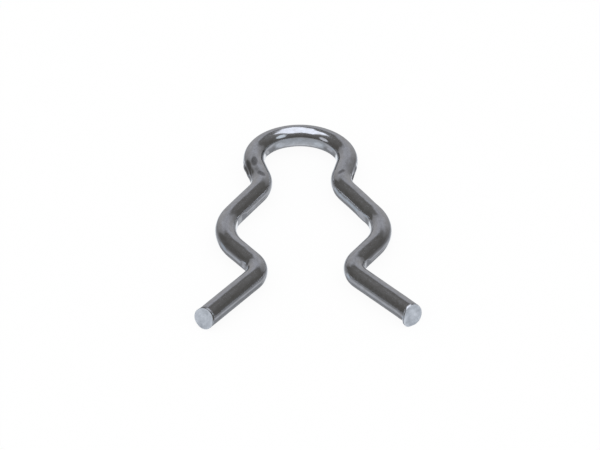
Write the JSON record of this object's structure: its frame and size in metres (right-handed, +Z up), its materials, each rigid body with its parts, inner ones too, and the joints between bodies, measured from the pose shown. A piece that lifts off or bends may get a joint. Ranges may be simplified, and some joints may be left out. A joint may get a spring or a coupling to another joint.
{
  "type": "hitch pin clip",
  "caption": "Flat hitch clip bent from round spring wire: a round bow, an inward waist, a wide belly that snaps round a grooved pin, a narrow throat and splayed, square-sheared tips.",
  "frame": {"origin": "under the middle of the clip's outline, on the plane that the wire lies on", "axes": "+Y along the clip's length, towards the bow; +X across it, with a leg on each side of x = 0; +Z up through the thickness of the wire"},
  "size_m": [0.0332, 0.0498, 0.0032],
  "materials": {
    "zinc_plated_wire": "bright zinc plate on drawn spring steel wire, fine-grained and lightly marked by the forming pins"
  },
  "bodies": {
    "root": {"clip": "zinc_plated_wire"}
  },
  "joints": []
}
